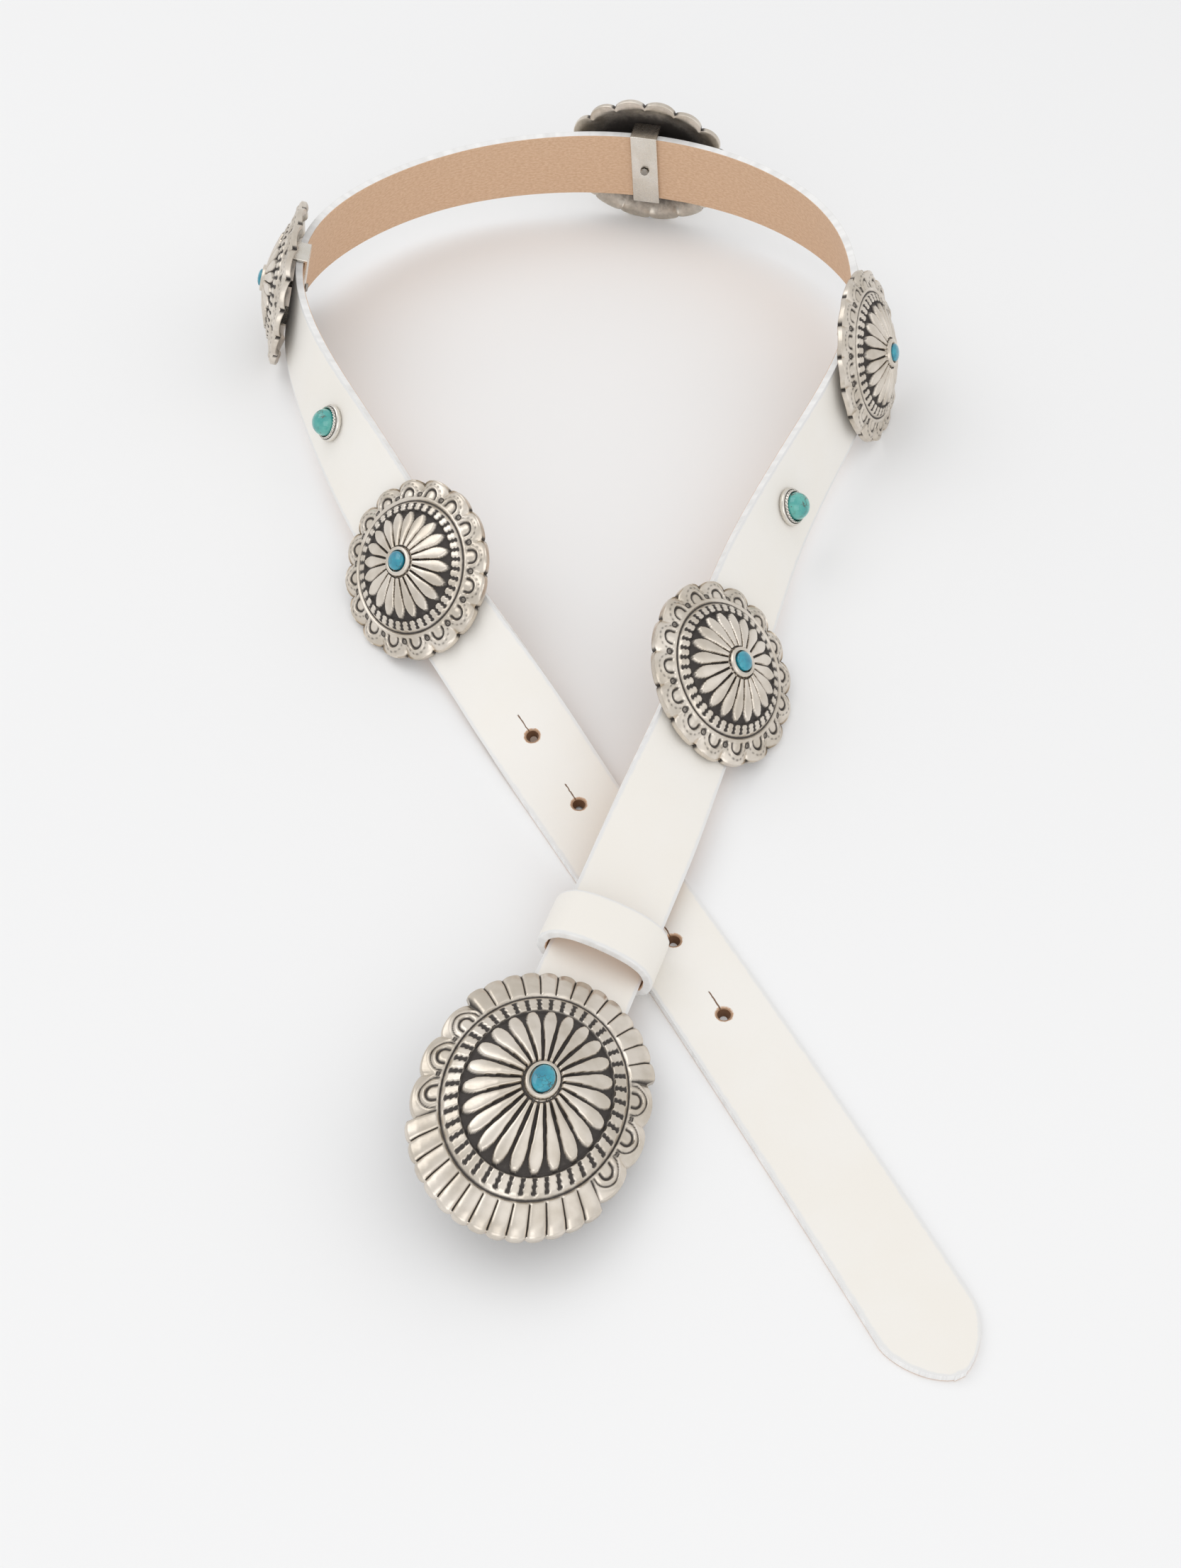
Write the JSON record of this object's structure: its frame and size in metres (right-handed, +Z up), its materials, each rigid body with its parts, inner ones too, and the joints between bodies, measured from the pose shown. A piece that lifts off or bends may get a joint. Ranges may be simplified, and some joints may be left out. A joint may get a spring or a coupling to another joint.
{
  "type": "concho belt",
  "caption": "Leather strap laid in a loop with its free end crossing under the buckle, carrying domed oval silver conchos, small turquoise studs, a keeper loop and an oval hook buckle.",
  "frame": {"origin": "on the surface the belt lies on, under the middle of its bounding box", "axes": "+Z up from that surface, +Y from the free end's tip towards the back of the loop, +X towards the right of the loop as the picture shows it"},
  "size_m": [0.235, 0.5112, 0.056],
  "materials": {
    "leather": "smooth white finished face, tan fibrous inner face, pale painted edges",
    "silver": "cast antiqued silver, polished on the high relief and blackened in the recesses",
    "turquoise": "polished turquoise with tiny dark specks",
    "green_turquoise": "high gloss green turquoise with dark matrix specks"
  },
  "bodies": {
    "root": {"strap": "leather", "keeper_loop": "leather", "concho_left_front_plate": "silver", "concho_left_front_stone": "turquoise", "concho_left_front_bar": "silver", "concho_left_front_rivet": "silver", "concho_left_plate": "silver", "concho_left_stone": "turquoise", "concho_left_bar": "silver", "concho_left_rivet": "silver", "concho_back_plate": "silver", "concho_back_stone": "turquoise", "concho_back_bar": "silver", "concho_back_rivet": "silver", "concho_right_plate": "silver", "concho_right_stone": "turquoise", "concho_right_bar": "silver", "concho_right_rivet": "silver", "concho_right_front_plate": "silver", "concho_right_front_stone": "turquoise", "concho_right_front_bar": "silver", "concho_right_front_rivet": "silver", "stud_left_cup": "silver", "stud_left_stone": "green_turquoise", "stud_left_screw": "silver", "stud_right_cup": "silver", "stud_right_stone": "green_turquoise", "stud_right_screw": "silver", "buckle_plate": "silver", "buckle_bar": "silver", "buckle_hook": "silver", "buckle_stone": "turquoise"}
  },
  "joints": []
}
